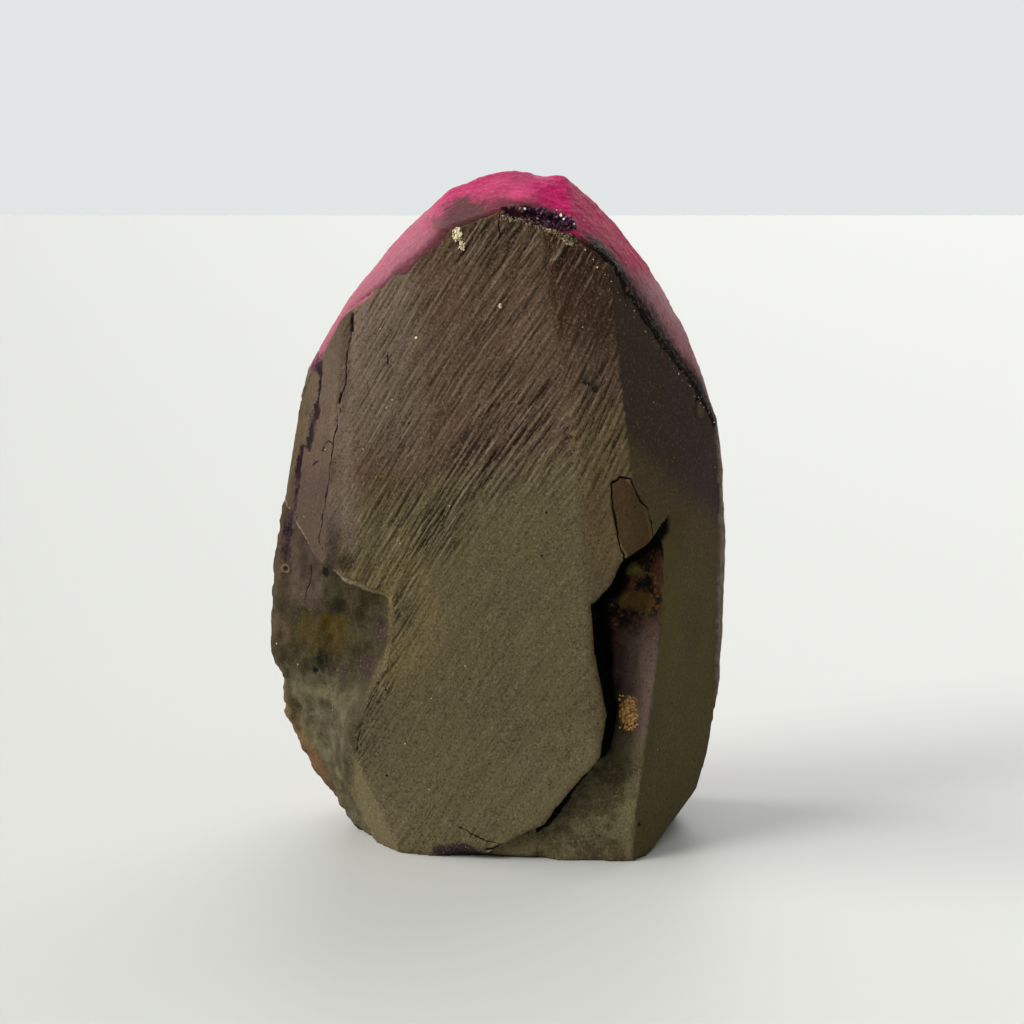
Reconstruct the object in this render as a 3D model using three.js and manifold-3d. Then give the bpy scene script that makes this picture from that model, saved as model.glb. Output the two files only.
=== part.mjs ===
// A standing pink amethyst cluster: a wedge of basalt matrix, ground flat on its back and sides and sawn
// level below, that carries a crust of quartz whose crystals point forward. Millimetres, +Z up; the crystals
// face +Y, the ground basalt back faces -Y, and the sawn base stands on Z = 0.

import * as THREE from 'three';
import { ConvexGeometry } from 'three/addons/geometries/ConvexGeometry.js';
import { mergeVertices } from 'three/addons/utils/BufferGeometryUtils.js';
import Module from 'manifold-3d';

const wasm = await Module();
wasm.setup();

// ---- driving dimensions, in millimetres ----------------------------------------------------------------

const HEIGHT = 110; // sawn base to the top of the pink rim
const RIM_DEPTH = 17; // y of the outline where the crystals begin
const TIP_CLEARANCE = 34; // y beyond every crystal tip
const SEAM_GAP = 0.3; // between the basalt and the crust that grew on it

const CRYSTAL_RADIUS = { largest: 6.4, smallest: 3 };
const CRYSTAL_PACKING = 0.68; // nearest two crystals come, as a share of the sum of their radii
const CRYSTAL_TRIALS = 1600; // places tried, the largest crystals first
const CRYSTAL_STEM = [-0.3, 0.45]; // prism that stands clear of the growth surface, as a share of the radius
const CRYSTAL_LEAN = 0.26; // largest lean from the growth direction, in radians
const CRYSTAL_SEED = 35;
const CRYSTAL_ROOT = 7; // prism below the growth surface
const CRYSTAL_ASKEW = 0.22; // how far its faces may be off centre, as a share of the radius
const NARROW_FACES = [0.05, 0.5]; // how far the narrow faces stand above the broad ones, likewise
const FACE_SLOPE = THREE.MathUtils.degToRad(51.8); // a quartz point's faces against its base

// Where basalt meets quartz: far forward low down, and swung back to the ground face near the top.
const SEAM_MIDDLE = { y: -0.5, z: 80 };
const SEAM_SWING = 9.5; // half of how far the seam moves in y
const SEAM_RISE = 14; // height over which it swings
const SEAM_TURN = 0.03; // how much further back it lies for each millimetre to the right
const SEAM_WAVE = { height: 0.7, size: 22 };
const SEAM_LEFT = { shift: 2.4, from: 0, to: 18 }; // how much further back it lies on the left, from x to x

// The growth surface is a shallow bowl, so its edge stands forward of its middle.
const BOWL_FLOOR = { bottom: 11.5, top: 1 };
const BOWL_EDGE = { rise: 5, middle: 50, across: 36, up: 56 };
const BOWL_WAVE = { height: 1.1, size: 16 };

// Corners of the ground faces, [x, y, z], from the base up.
const BASE_RING = [
  [-22.3, -4.8, 0], [-16.2, -14.3, 0], [-6.5, -17.2, 0], [7.4, -19.5, 0], [16.2, -20.7, 0],
  [21, -19.8, 0], [24, -15.5, 0], [28.5, 2, 0], [30, 12, 0], [-24, 8, 0],
];
const BACK_FACE = [
  [-24.5, -17, 19.8], [-27.8, -14.2, 48.3], [-26.2, -10.9, 73.5], [-25, -8, 86.6],
  [12.8, -17.2, 58.2], [12.5, -16, 67.5], [9, -13.3, 84.9],
  [18, -10, 91.8], [19.4, -12.2, 76.8], [20.6, -13.7, 65.8], [24, -13.6, 50], [25.2, -14, 34.9], [22, -17.6, 22.4],
];
const LEFT_STRIP = [
  [-33.5, -3, 18], [-35.6, -2.5, 33], [-33.2, -2.5, 50], [-30.6, -2, 76.1],
];
const BEVEL_EDGE = [
  [-15.9, -9.2, 95.3], [-9.4, -9.8, 100.5], [0.2, -10, 103.2], [12.1, -10, 99.6],
  [17.7, -9.6, 94.9], [22.8, -5.8, 86.8], [27.9, -2.2, 78.9], [33.2, 2.4, 72], [35.9, 5.4, 67.9],
];
const WIDEST_OUTLINE = [
  [-31.2, 1, 11.1], [-35.6, 3, 18.5], [-38.4, 4, 31.2], [-37.8, 4, 44.6], [-36.3, 4, 52.8],
  [-34.7, 4, 61.1], [-33.2, 3, 71.3], [-31.7, 4, 77.4], [-24.6, 3, 89.4], [-18.1, 2, 97.3],
  [-12.3, 1.5, 103.2], [-8, 1, 107.1], [-3.1, 1, 109], [1.6, 1, HEIGHT], [10.7, 1, 109.2],
  [15.2, 2, 105.1], [18.8, 2, 101.5], [23.6, 3, 95.7], [27.5, 4, 89.7], [30.7, 5, 83.9],
  [32.9, 6, 77.3], [36.4, 8, 69.1], [37.5, 9.5, 61.5], [38.5, 10.5, 48.4], [38.3, 10.5, 35.9],
  [37.5, 9, 23.6], [35.3, 6, 11.7], [33.5, 5, 5.9],
];
const CRYSTAL_OUTLINE = [
  [-20, 0], [-29, 14], [-34, 34], [-32.5, 58], [-27.5, 79], [-16, 95], [-6, 103.5], [1, 106],
  [10, 104], [20, 94], [28.5, 78], [34, 58], [35, 36], [32, 13], [28, 0],
];
const OUTLINE_TAPER = 0.84; // how far the outline closes in between the rim and the tips

// The overhanging ledge low on the right of the back, as [x, z], from its top to the base.
const LEDGE = [
  [26.6, 53.6], [24, 50.8], [19.6, 48.1], [18, 44.6], [14.8, 41.3], [15.3, 34], [16.6, 27.5],
  [17.3, 23.9], [16.2, 16.8], [12.2, 12.4], [9.8, 9.4], [7.4, 6.1], [3.4, 4.1], [-1.5, 1.1],
];

// What stands behind the ledge, as the front corners of the air over it: sunk rock beside its upper half, and
// a low step below.
const SUNK_FLOOR = [
  [14, -8, 45], [14.5, -8.5, 27], [11, -16, 12], [2, -21.5, 0],
  [28.5, -10.8, 55], [26.6, -13.2, 35], [23, -16.5, 20], [22, -21, 0],
];
const STEP_FLOOR = [
  [-6, -17, -1], [2, -17.9, -1], [7, -17.9, 8], [13, -17.3, 16], [21.4, -19.2, -1], [22.3, -17.4, 20],
];
const LEDGE_AIR = { left: -8, right: 40, back: -40, foot: -4, top: 60 };

// The broken face low on the left: the crest where it meets the ground back, and its edge on the outline.
const BREAK_CREST = [
  [-17.2, -16.3, 42.5], [-17, -16.8, 36], [-20.4, -16.9, 28], [-23.6, -16.9, 19.8], [-24.3, -16.4, 10],
  [-20, -15.5, -2],
];
const BREAK_OUTLINE = [
  [-36.5, 1, 54], [-38.6, 1.5, 42], [-38.4, 1.5, 31], [-35.6, 1.5, 18], [-30.6, 0.5, 9.5], [-21.8, -2.4, -3],
];
const BREAK_SINK = 2.6; // how far the middle of the broken face lies below a flat one
const BREAK_ROUGHNESS = 0.8;

// Broken hollows and pits: centre, radii, how uneven the surface is as a share of the radius, and how many
// degrees the hollow drops towards the right.
const HOLLOWS = {
  leftNotch: { at: [-40.6, 2, 24], radii: [4.4, 8, 5.4], unevenness: 0.15 },
  baseArch: { at: [6.8, -21, -1.2], radii: [3.4, 5, 3.6], unevenness: 0.14 },
  basalEdge: { at: [-3, -20, -1.2], radii: [15, 5, 2.7], unevenness: 0.14 },
  topDip: { at: [7, 0, 112], radii: [3, 9, 3.4], unevenness: 0.1 },
  vug: { at: [6.8, -10.6, 102.6], radii: [6.2, 3.2, 1.7], unevenness: 0.2, fall: 12 },
};
const PITS = [
  { at: [-27.2, -14.5, 46.2], radius: 1.5 },
  { at: [-35.7, -3.4, 45.6], radius: 1.2 },
  { at: [27.5, -4.5, 80.4], radius: 1.9 },
  { at: [33.8, 1.6, 71.4], radius: 1.8 },
  { at: [14.6, -15.3, 77], radius: 1.1 },
];

// ---- helpers ---------------------------------------------------------------------------------------------

// A repeatable source of numbers from 0 to 1.
function seeded(seed) {
  let state = seed >>> 0;
  return () => {
    state = (state + 0x6d2b79f5) >>> 0;
    let t = Math.imul(state ^ (state >>> 15), 1 | state);
    t = (t + Math.imul(t ^ (t >>> 7), 61 | t)) ^ t;
    return ((t ^ (t >>> 14)) >>> 0) / 4294967296;
  };
}

function between([low, high], share) {
  return low + (high - low) * share;
}

// A smooth uneven field over space, from -1 to 1, whose bumps are about `size` across.
function waviness(x, y, z, size) {
  const [u, v, w] = [x / size, y / size, z / size];
  const broad = Math.sin(1.9 * u + 1.3 * Math.sin(1.7 * w)) + Math.sin(2.3 * w + 0.9 * u + 1.1 * Math.sin(2.1 * v));
  const fine = Math.sin(4.7 * u - 3.1 * v + 1.3) * Math.cos(4.1 * w + 2.2 * v);
  return (broad + fine) / 3;
}

function solid(geometry) {
  const shape = geometry.clone();
  shape.deleteAttribute('normal');
  shape.deleteAttribute('uv');
  const merged = mergeVertices(shape, 1e-4);
  return new wasm.Manifold(new wasm.Mesh({
    numProp: 3,
    vertProperties: new Float32Array(merged.attributes.position.array),
    triVerts: new Uint32Array(merged.index.array),
  }));
}

function join(solids) {
  return solids.reduce((whole, next) => whole.add(next));
}

function hull(points) {
  return solid(new ConvexGeometry(points.map(([x, y, z]) => new THREE.Vector3(x, y, z))));
}

// Moves every vertex of a geometry by a function of its position.
function reshape(geometry, move) {
  const position = geometry.attributes.position;
  const point = new THREE.Vector3();
  for (let i = 0; i < position.count; i += 1) {
    point.fromBufferAttribute(position, i);
    move(point);
    position.setXYZ(i, point.x, point.y, point.z);
  }
  return geometry;
}

// A slab over the whole outline, between two surfaces that are given as y for each x and z.
function slab(columns, rows, back, front) {
  const box = new THREE.BoxGeometry(100, 2, HEIGHT + 20, columns, 1, rows);
  box.translate(0, 0, HEIGHT / 2);
  return solid(reshape(box, (p) => {
    p.y = p.y < 0 ? back(p.x, p.z) : front(p.x, p.z);
  }));
}

// ---- the surfaces inside the rock -------------------------------------------------------------------------

function seam(x, z) {
  const swing = SEAM_SWING * Math.tanh((z - SEAM_MIDDLE.z) / SEAM_RISE);
  const left = SEAM_LEFT.shift * THREE.MathUtils.smoothstep(-x, SEAM_LEFT.from, SEAM_LEFT.to);
  return SEAM_MIDDLE.y - swing - left - SEAM_TURN * x + SEAM_WAVE.height * waviness(x, 0, z, SEAM_WAVE.size);
}

function growthSurface(x, z) {
  const height = THREE.MathUtils.clamp(z / HEIGHT, 0, 1);
  const floor = between([BOWL_FLOOR.bottom, BOWL_FLOOR.top], height * height);
  const fromMiddle = Math.min(1.2, Math.hypot(x / BOWL_EDGE.across, (z - BOWL_EDGE.middle) / BOWL_EDGE.up));
  return floor + BOWL_EDGE.rise * fromMiddle ** 3 + BOWL_WAVE.height * waviness(x, 0, z, BOWL_WAVE.size);
}

function growthDirection(x, z) {
  const step = 2;
  const slopeX = (growthSurface(x + step, z) - growthSurface(x - step, z)) / (2 * step);
  const slopeZ = (growthSurface(x, z + step) - growthSurface(x, z - step)) / (2 * step);
  return new THREE.Vector3(-slopeX, 1, -slopeZ).normalize();
}

// ---- the ground outside ---------------------------------------------------------------------------------

function outsideForm() {
  const rim = CRYSTAL_OUTLINE.map(([x, z]) => [x, RIM_DEPTH, z]);
  const beyondTips = CRYSTAL_OUTLINE.map(([x, z]) => [
    x * OUTLINE_TAPER,
    TIP_CLEARANCE,
    z === 0 ? 0 : HEIGHT / 2 + (z - HEIGHT / 2) * OUTLINE_TAPER,
  ]);
  return hull([...BASE_RING, ...BACK_FACE, ...LEFT_STRIP, ...BEVEL_EDGE, ...WIDEST_OUTLINE, ...rim, ...beyondTips]);
}

// ---- hollows, pits and the ledge ----------------------------------------------------------------------------

function hollow({ at, radii, unevenness, fall = 0 }) {
  const sphere = new THREE.IcosahedronGeometry(1, 6);
  const [axis, drop] = [new THREE.Vector3(0, 1, 0), THREE.MathUtils.degToRad(fall)];
  return solid(reshape(sphere, (p) => {
    const swell = 1 + unevenness * waviness(p.x + at[0], p.y + at[1], p.z + at[2], 0.75);
    p.set(radii[0] * p.x, radii[1] * p.y, radii[2] * p.z).multiplyScalar(swell);
    p.applyAxisAngle(axis, drop).add(new THREE.Vector3(...at));
  }));
}

function pit({ at, radius }) {
  const sphere = new THREE.IcosahedronGeometry(radius, 1);
  sphere.scale(1.25, 1, 1.6);
  sphere.translate(...at);
  return solid(sphere);
}

// The rock that is missing in front of the broken face: a curved patch from the crest to the outline, with
// air outside it.
function leftBreak() {
  const [crest, outline] = [BREAK_CREST, BREAK_OUTLINE]
    .map((points) => new THREE.CatmullRomCurve3(points.map((point) => new THREE.Vector3(...point))));
  const outward = new THREE.Vector3(-0.7, -0.7, 0);
  const patch = new THREE.BoxGeometry(1.4, 1, 1, 14, 1, 20);
  return solid(reshape(patch, (p) => {
    const [across, along, isOutside] = [p.x + 0.5, 0.5 - p.z, p.y > 0];
    p.lerpVectors(crest.getPoint(along), outline.getPoint(along), across);
    const sink = BREAK_SINK * Math.sin(Math.PI * THREE.MathUtils.clamp(across, 0, 1)) ** 0.6;
    const rough = BREAK_ROUGHNESS * (waviness(p.x, p.y, p.z, 7) + 0.6 * waviness(p.x, p.y, p.z, 3));
    p.addScaledVector(outward, isOutside ? 30 : -sink - rough);
  }));
}

// What is missing in front of the ledge: deeply sunk rock under its upper half, and a low step below.
function ledgeRecess() {
  const { left, right, back, foot, top } = LEDGE_AIR;
  const outline = new THREE.Shape([...LEDGE, [LEDGE.at(-1)[0], foot], [right, foot], [right, LEDGE[0][1]]]
    .map(([x, z]) => new THREE.Vector2(x, z)));
  const opening = new THREE.ExtrudeGeometry(outline, { depth: -back, bevelEnabled: false });
  opening.rotateX(Math.PI / 2);
  const air = [[0, back, top], [right, back, top], [left, back, foot], [right, back, foot]];
  const sunk = hull([...air, ...SUNK_FLOOR]);
  const step = hull([...air, ...STEP_FLOOR]);
  return solid(opening).intersect(sunk.add(step));
}

// ---- the two pieces -----------------------------------------------------------------------------------------

function basaltMatrix(outside) {
  const openings = [
    leftBreak(),
    ledgeRecess(),
    ...Object.values(HOLLOWS).map(hollow),
    ...PITS.map(pit),
  ];
  const behindSeam = slab(14, 18, () => -60, seam);
  return outside.intersect(behindSeam).subtract(join(openings));
}

// One quartz crystal along +Y, its growth surface at y = 0: a six-sided prism whose point has three broad
// faces and, from a second three-sided cone turned half way between them, three narrow ones.
function crystal(radius, random) {
  const stem = radius * between(CRYSTAL_STEM, random());
  const length = stem + CRYSTAL_ROOT;
  const prism = new THREE.CylinderGeometry(radius, radius, 2 * length, 6);
  const top = stem + radius * Math.cos(Math.PI / 6) * Math.tan(FACE_SLOPE);
  const reach = 3 * length;
  const point = (height, turn) => {
    const cone = new THREE.ConeGeometry((2 * reach) / Math.tan(FACE_SLOPE), reach, 3);
    cone.rotateY(turn);
    const askew = CRYSTAL_ASKEW * radius;
    cone.translate(askew * (random() - 0.5), height - reach / 2, askew * (random() - 0.5));
    return solid(cone);
  };
  const facing = Math.PI / 6;
  const narrowness = radius * between(NARROW_FACES, random());
  return solid(prism).intersect(point(top, facing)).intersect(point(top + narrowness, facing + Math.PI / 3));
}

function crystalPlaces(random) {
  const places = [];
  for (let trial = 0; trial < CRYSTAL_TRIALS; trial += 1) {
    const radius = between([CRYSTAL_RADIUS.largest, CRYSTAL_RADIUS.smallest], Math.sqrt(trial / CRYSTAL_TRIALS));
    const [x, z] = [between([-42, 42], random()), between([-5, HEIGHT + 3], random())];
    const room = ({ x: u, z: w, radius: r }) => Math.hypot(x - u, z - w) > CRYSTAL_PACKING * (r + radius);
    if (places.every(room)) {
      places.push({ x, z, radius });
    }
  }
  return places;
}

function crystalDruse() {
  const random = seeded(CRYSTAL_SEED);
  const up = new THREE.Vector3(0, 1, 0);
  return crystalPlaces(random).map(({ x, z, radius }) => {
    const lean = new THREE.Vector3(random() - 0.5, 0, random() - 0.5).multiplyScalar(2 * CRYSTAL_LEAN);
    const growth = growthDirection(x, z).add(lean).normalize();
    const spin = new THREE.Quaternion().setFromAxisAngle(up, random() * Math.PI);
    const turn = new THREE.Quaternion().setFromUnitVectors(up, growth).multiply(spin);
    const place = new THREE.Matrix4().compose(
      new THREE.Vector3(x, growthSurface(x, z), z), turn, new THREE.Vector3(1, 1, 1),
    );
    return crystal(radius, random).transform(place.toArray());
  });
}

function amethystCrust(outside) {
  const rind = slab(14, 18, (x, z) => seam(x, z) + SEAM_GAP, growthSurface);
  const inFront = slab(14, 18, (x, z) => seam(x, z) + SEAM_GAP, () => 60);
  const druse = join([rind, ...crystalDruse()]);
  return druse.intersect(outside).intersect(inFront)
    .subtract(hollow(HOLLOWS.vug)).subtract(hollow(HOLLOWS.topDip));
}

// ---- the scene graph ------------------------------------------------------------------------------------------

function piece(name, body, color, roughness) {
  const { vertProperties, triVerts } = body.getMesh();
  const geometry = new THREE.BufferGeometry();
  geometry.setAttribute('position', new THREE.BufferAttribute(vertProperties, 3));
  geometry.setIndex(new THREE.BufferAttribute(triVerts, 1));
  const mesh = new THREE.Mesh(geometry, new THREE.MeshStandardMaterial({ color, roughness, metalness: 0 }));
  mesh.name = name;
  return mesh;
}

const outside = outsideForm();
const cluster = new THREE.Group();
cluster.add(piece('basalt_matrix', basaltMatrix(outside), 0x5a4f41, 0.85));
cluster.add(piece('pink_amethyst_crust', amethystCrust(outside), 0xc74480, 0.3));

// The origin is the middle of the box around the cluster, at its foot.
const box = new THREE.Box3().setFromObject(cluster);
const middle = box.getCenter(new THREE.Vector3());
cluster.position.set(-middle.x, -middle.y, -box.min.z);

export default cluster;
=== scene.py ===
"""Looks of a standing pink amethyst cluster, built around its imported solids.

Lengths are in the rock's own millimetres, measured from the middle of its foot as it was first laid
out: x to the right seen from the ground basalt back, y towards the crystal points, z up from the sawn
base. The last step on each piece carries its mesh into the frame, in metres.
"""

import math
import random

import bmesh
import bpy
import numpy as np
from mathutils import Matrix, Vector
from mathutils.bvhtree import BVHTree


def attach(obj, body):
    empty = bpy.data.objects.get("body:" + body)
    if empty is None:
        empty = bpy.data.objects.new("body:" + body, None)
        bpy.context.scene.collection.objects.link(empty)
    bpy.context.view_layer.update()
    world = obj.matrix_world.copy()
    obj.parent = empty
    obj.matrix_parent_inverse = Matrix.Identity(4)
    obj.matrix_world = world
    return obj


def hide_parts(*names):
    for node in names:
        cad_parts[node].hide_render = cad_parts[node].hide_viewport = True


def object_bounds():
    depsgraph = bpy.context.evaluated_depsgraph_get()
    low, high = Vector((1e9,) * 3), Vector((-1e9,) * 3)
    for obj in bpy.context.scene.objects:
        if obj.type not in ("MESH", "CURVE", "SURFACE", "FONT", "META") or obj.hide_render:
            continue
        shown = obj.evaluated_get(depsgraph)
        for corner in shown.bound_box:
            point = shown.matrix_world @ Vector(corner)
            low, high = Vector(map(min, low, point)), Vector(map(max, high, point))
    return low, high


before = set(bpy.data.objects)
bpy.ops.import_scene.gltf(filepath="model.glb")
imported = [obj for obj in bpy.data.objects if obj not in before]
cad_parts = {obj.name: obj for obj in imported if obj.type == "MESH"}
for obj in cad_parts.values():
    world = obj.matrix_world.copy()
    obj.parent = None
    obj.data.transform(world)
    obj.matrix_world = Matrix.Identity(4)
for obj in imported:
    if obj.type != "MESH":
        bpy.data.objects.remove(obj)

MM = 0.001
CAD_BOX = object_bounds()

# ---- where the rock lies in the frame ----

WIDEST_X = 38.5
FURTHEST_BACK_Y = -20.7
TO_ROCK = np.array([WIDEST_X - CAD_BOX[1].x / MM, FURTHEST_BACK_Y - CAD_BOX[0].y / MM, 0])

# ---- form of the rock, as the solids have it ----

HEIGHT = 110
SEAM = {"y": -0.5, "z": 80, "swing": 9.5, "rise": 14, "turn": 0.03, "left": 2.4}
BOWL_FLOOR = {"bottom": 11.5, "top": 1}
BOWL_EDGE = 5
VUG = {"at": (6.8, -10.6, 102.6), "radii": (6.2, 3.2, 1.7), "fall": 12}

# The overhanging ledge, as (x, z), from its top to the base, and where the sunk rock beside it ends.
LEDGE = [
    (26.6, 53.6), (24, 50.8), (19.6, 48.1), (18, 44.6), (14.8, 41.3), (15.3, 34), (16.6, 27.5),
    (17.3, 23.9), (16.2, 16.8), (12.2, 12.4), (9.8, 9.4), (7.4, 6.1), (3.4, 4.1), (-1.5, 1.1),
]
RECESS_EDGE = [
    (27.4, 54), (27.2, 49.3), (26.4, 40.6), (25.4, 34), (23.6, 26.9), (22.4, 22.2), (21.2, 17.5), (20.7, 10),
]

# Where the rough face low on the left meets the ground ones, as (x, z), from its top to the base.
BREAK_EDGE = [
    (-36, 56), (-33.1, 52.5), (-29.5, 48.4), (-25.3, 43.9), (-17.6, 42.4), (-17.2, 38), (-17.6, 35),
    (-20.4, 28), (-23.6, 19.8), (-24.3, 10), (-20, -2),
]

# ---- making of the meshes ----

BASALT = ("basalt_matrix", "basalt")  # the solid that a piece stands in for, and its slot
CRYSTAL = ("pink_amethyst_crust", "pink_amethyst")
BASALT_VOXEL = 0.595  # how fine the stone's meshes are
RIND_VOXEL = 0.55
BEYOND = 60  # y that lies outside the rock, before it or behind it
FAR_OUTSIDE = -20  # signed distance given to points that an edge does not concern
NOT_NEAR = 9  # distance from cracks and pits given to points off the back
GROWTH_SEED = 19
GROWTH_TRIES = 5200
GRAIN_SEED = 5
VUG_SEED = 3

# ---- lines and places on the back, as (x, z) on the rock ----

# Grinding lines: how far they lean with height, how they turn from left to right, and how far apart they
# are. A narrow strip on the right was ground at another angle.
LINE_LEAN = 0.68
LINE_TURN = 0.0042
LINE_SPACING = 1.02
STRIP_LEAN = 0.45

CRACKS = [  # line, half width, depth
    ([(-23.4, 87.2), (-23.5, 86.2), (-23.6, 84.6)], 0.22, 0.5),
    ([(-23.6, 84.9), (-23.9, 82.8), (-24.2, 81), (-24.3, 78.8), (-24.6, 76.1), (-25.2, 73.9), (-25.6, 71.5),
      (-26, 69), (-26.5, 66.6), (-27, 63.5), (-27.1, 61), (-27.8, 57.8), (-28.2, 56.2), (-28.5, 53.4),
      (-29, 50.8)], 0.1, 0.12),
    ([(-25.1, 74.8), (-25.4, 73.2)], 0.24, 0.4),
    ([(-26.5, 66.4), (-27.2, 67), (-28.1, 66.3), (-28.6, 65.2)], 0.13, 0.3),
    ([(-29.4, 63.4), (-30.4, 62.4)], 0.11, 0.2),
    ([(-29.4, 79), (-29.3, 77.4)], 0.55, 0.3),
    ([(-29.1, 77.4), (-29.1, 75.3), (-29.4, 72.8), (-29.8, 71.5)], 0.2, 0.3),
    ([(-29.7, 71.8), (-30.3, 69.8), (-30.9, 67.2), (-31.3, 65.2)], 0.6, 0.3),
    ([(-32.8, 65), (-33.3, 60.6), (-33.7, 57.4), (-34.1, 54.6)], 0.42, 0.4),
    ([(-34.5, 54), (-34.8, 52.3), (-35.2, 49), (-35.6, 46)], 0.75, 0.3),
    ([(-30.9, 45.6), (-31.2, 42.8), (-32, 39.5)], 0.09, 0.25),
    ([(20.6, 47.4), (19.4, 50.2), (18.8, 53.5), (18.3, 56.8), (18, 60.5), (19.1, 61.7), (20.8, 61.5),
      (21.5, 60), (22.7, 57.7), (23.7, 56.1)], 0.13, 0.4),
    ([(23.8, 55.9), (24.4, 54.2), (24.7, 51.9)], 0.06, 0.15),
    ([(0.2, 103.4), (0, 101.6), (0.3, 99.8)], 0.07, 0.3),
    ([(-17.7, 80.7), (-17.6, 79.3)], 0.1, 0.3),
    ([(-22.2, 21.8), (-22.9, 18)], 0.08, 0.2),
    # The two lines along the foot of the ledge are grooves painted dark: partly a crack, partly painted
    # shade under the ledge.
    ([(16.4, 16.9), (12.3, 12.3), (9.9, 9.3), (7.5, 6), (4.6, 4.5)], 0.26, 0.5),
    ([(4.6, 4.5), (1, 2.6), (-2, 1.6)], 0.16, 0.4),
    ([(-6.4, 5.3), (-2.5, 3.4), (-0.5, 2.9)], 0.1, 0.3),
]
PITS = [  # place, radius
    ((-28.5, 44.6), 0.9), ((-17.9, 93.8), 0.36), ((-17.3, 84.8), 0.2), ((-12.9, 50.2), 0.3),
    ((-8.6, 38.3), 0.2), ((21.5, 56.6), 0.18), ((-1.2, 61.5), 0.18), ((24, 33.1), 0.2),
    ((-19.5, 28.6), 0.4), ((11.9, 66), 0.22), ((-19.4, 17.7), 0.25), ((-30.4, 28.3), 0.6),
    ((22.6, 5.6), 0.4), ((-24.6, 40.6), 0.25), ((13.2, 13), 0.4),
]
VESICLE = (-35.5, 44.4)  # a small ring low in the groove on the left
RING_RADIUS = 0.62
BLACK_SPOTS = [  # blots of black-green: place, reach
    ((14.1, 77.2), (1.3, 1.8)), ((12.7, 78.9), (0.9, 1)), ((15.2, 75.6), (0.9, 0.8)),
    ((20.2, 90.9), (1.2, 1.7)), ((23.2, 87.4), (0.9, 1.8)), ((33.3, 72.4), (1.2, 2)),
    ((35.1, 70.3), (1, 1.4)), ((17, 96), (1.5, 0.8)),
]
RUSTY_PATCH = (20.9, 23.2)
GRAIN_PATCHES = [  # druse of small grains: place, reach, number, sizes
    ((-6.6, 99.8), (0.55, 0.9), 80, (0.12, 0.34)),
    ((-5.9, 98.2), (0.45, 0.6), 30, (0.12, 0.32)),
    (RUSTY_PATCH, (1.1, 2.1), 300, (0.1, 0.36)),
    ((0.2, 88.6), (0.22, 0.3), 12, (0.14, 0.3)),
    ((-13.1, 83.6), (0.15, 0.15), 6, (0.12, 0.24)),
]
FINE_GRAINS = (0.06, 0.2)
VUG_LIP = [
    (0.2, 102.4), (2.5, 102.2), (4.9, 101.6), (7.3, 100.8), (8.9, 100.2), (10.5, 99.2), (11.6, 98.5),
]
# Points painted near white, as painted glints round the small hollow.
VUG_PAINTED_GLINTS = [  # bright points round the small hollow: x, z, size
    (4.1, 103.9, 0.14), (9.2, 103.6, 0.11), (9.9, 102.9, 0.18), (10.3, 102.3, 0.12), (12, 101.5, 0.08),
    (5.6, 102.4, 0.07), (13.6, 102, 0.07),
]

# ---- colours ----

# Colours, here and in the finishes, are red, green and blue in thousandths of full light.
# Spots: place, reach, raggedness, softness, share and tint of each.
GROUND_SPOTS = [
    ((-24.3, 56), (3.4, 9), 1.5, 0.7, 1, (165, 120, 84)),
    ((-18.4, 58.2), (3.4, 5), 2.2, 0.7, 0.75, (90, 66, 26)),
    ((-24.6, 47.6), (2.6, 1.9), 1.4, 0.6, 0.9, (46, 36, 14)),
]
LEFT_SPOTS = [
    ((-25, 68.5), (2.3, 10), 0, 0.8, 0.6, (205, 150, 108)),
    ((-25.7, 57.5), (2.2, 7), 0, 0.8, 0.6, (190, 140, 100)),
]
BREAK_SPOTS = [
    ((-27.2, 42), (1.4, 2.6), 1.2, 0.5, 1, (34, 29, 14)),
    ((-28.8, 34.2), (6, 3.6), 2.2, 0.5, 0.85, (50, 34, 9)),
    ((-27.2, 36.2), (3.2, 2.2), 1.6, 0.5, 0.85, (50, 33, 4)),
    ((-26.6, 39.4), (4, 1.5), 2, 0.5, 0.7, (18, 14, 6)),
    ((-29, 30.2), (1.5, 2), 2, 0.5, 0.9, (9, 10, 4)),
]
BREAK_TINGES = [((-18.9, 36.2), (1.9, 4.2)), ((-21.4, 30.6), (2.6, 1.9)), ((-26.3, 29), (1.5, 1.1))]
RECESS_SPOTS = [
    ((21.9, 45.8), (1.7, 1.3), 3, 0.6, 0.85, (105, 86, 22)),
    ((23, 40.9), (2.9, 1.8), 3, 0.6, 0.85, (115, 66, 18)),
    ((25.4, 46.4), (1.1, 3.2), 3, 0.6, 0.85, (100, 30, 20)),
]
RIND_SPOTS = [
    ((-8.9, 101.6), (3.6, 2), 1.1, 0.8, 0.85, (110, 45, 47)),
    ((-5.5, 103.2), (4.6, 3.2), 1.1, 0.5, 0.95, (92, 33, 34)),
    ((-29.3, 77.8), (2.2, 3), 1.6, 0.5, 0.9, (30, 10, 22)),
]

# The rind from the basalt to the crystals, at the left, the top, the upper right and the right: share of
# the way across, and colour.
RIND_BANDS = [
    [(0, (260, 85, 110)), (0.22, (300, 90, 120)), (0.5, (360, 100, 145)), (0.9, (420, 130, 175))],
    [(0, (130, 35, 42)), (0.13, (260, 32, 64)), (0.34, (420, 34, 118)), (0.9, (390, 14, 92))],
    [(0.04, (50, 20, 18)), (0.2, (340, 22, 64)), (0.45, (560, 32, 108)), (0.9, (620, 130, 215))],
    [(0.06, (26, 16, 13)), (0.17, (120, 62, 56)), (0.32, (360, 160, 175)), (0.6, (600, 320, 340))],
]
QUARTZ_IOR = 1.544

# ---- camera ----

AIM = (2.07, 0, 53.9)
DISTANCE = 399
ELEVATION = math.radians(8)
FIELD_OF_VIEW = math.radians(24)

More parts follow.
